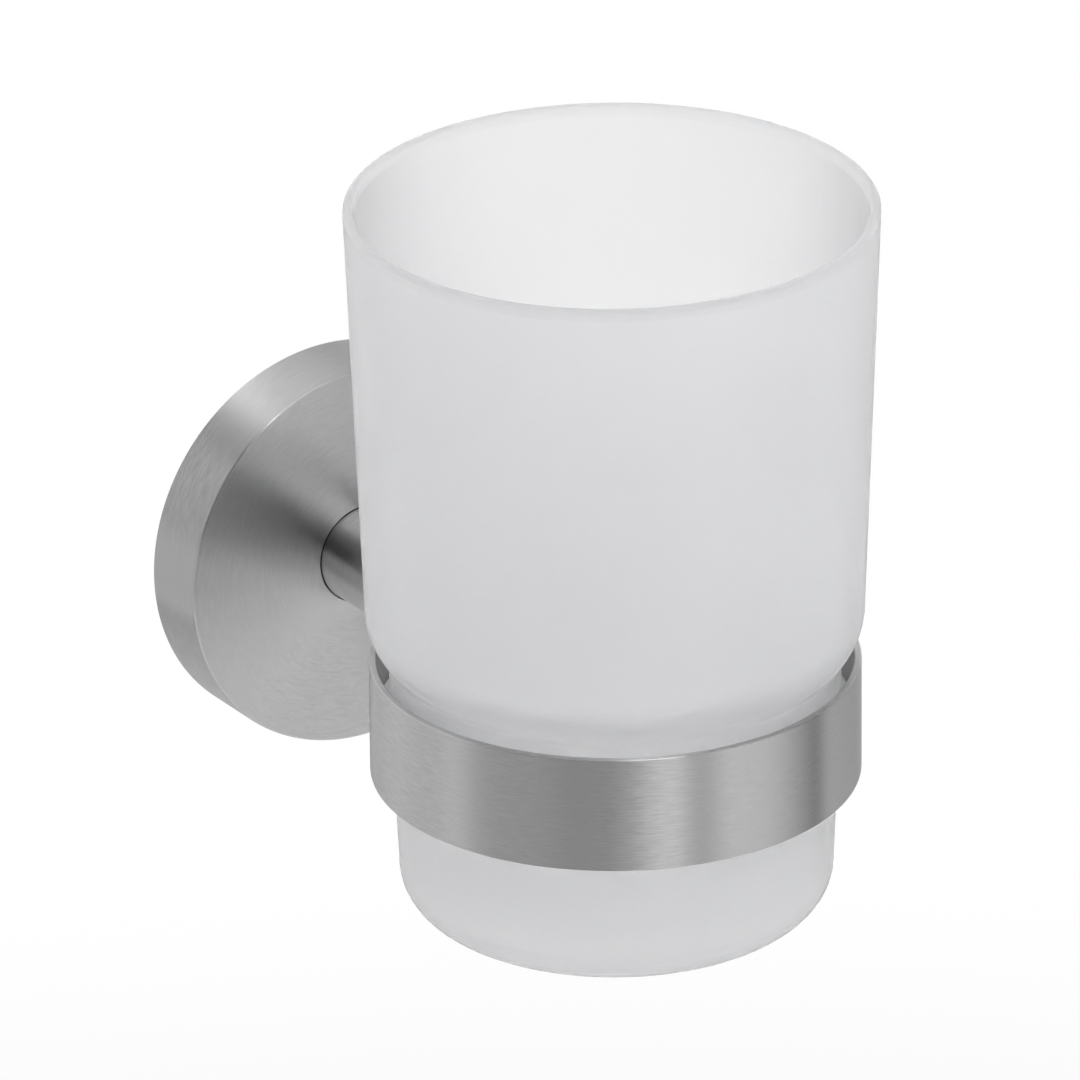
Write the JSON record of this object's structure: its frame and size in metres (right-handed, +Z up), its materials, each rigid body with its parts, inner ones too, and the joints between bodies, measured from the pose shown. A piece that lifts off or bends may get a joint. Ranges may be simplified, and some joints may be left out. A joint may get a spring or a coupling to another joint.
{
  "type": "glass toothbrush holder",
  "caption": "Frosted glass tumbler with a stepped shoulder in a brushed steel ring, on a short post with a round wall rosette that hides its fixing.",
  "frame": {"origin": "on the wall, at the middle between the two wall screw holes, which is on the axis of the post", "axes": "+Y points into the wall, +Z is up, +X runs along the line of the two screw holes; the glass stands at -Y"},
  "size_m": [0.07, 0.106, 0.1],
  "materials": {
    "frosted_glass": "satin frosted all over, clear gloss only on the rounded rim's highlights",
    "brushed_ring": "satin, fine brush lines round the ring",
    "brushed_cap": "satin, fine turned lines round the centre of the face and round the side",
    "brushed_post": "satin, fine turned lines round the post",
    "screw_steel": "plain machined steel",
    "cast_zinc": "bare die-cast zinc, fine matt skin",
    "seat_plastic": "satin, off-white"
  },
  "bodies": {
    "holder": {"wall_bracket": "cast_zinc", "rosette_hub": "cast_zinc", "rosette_cap": "brushed_cap", "post": "brushed_post", "post_screw": "screw_steel", "lock_washer": "screw_steel", "holder_ring": "brushed_ring", "seat_ring": "seat_plastic"},
    "tumbler": {"glass_tumbler": "frosted_glass"},
    "grub_screw": {"set_screw": "screw_steel"}
  },
  "joints": [
    {"name": "tumbler_lift", "type": "slide", "parent": "holder", "child": "tumbler", "axis": [0, 0, 1], "range_m": [0, 0.06]},
    {"name": "set_screw_travel", "type": "slide", "parent": "holder", "child": "grub_screw", "axis": [0, 0, -1], "range_m": [0, 0.0021]}
  ]
}
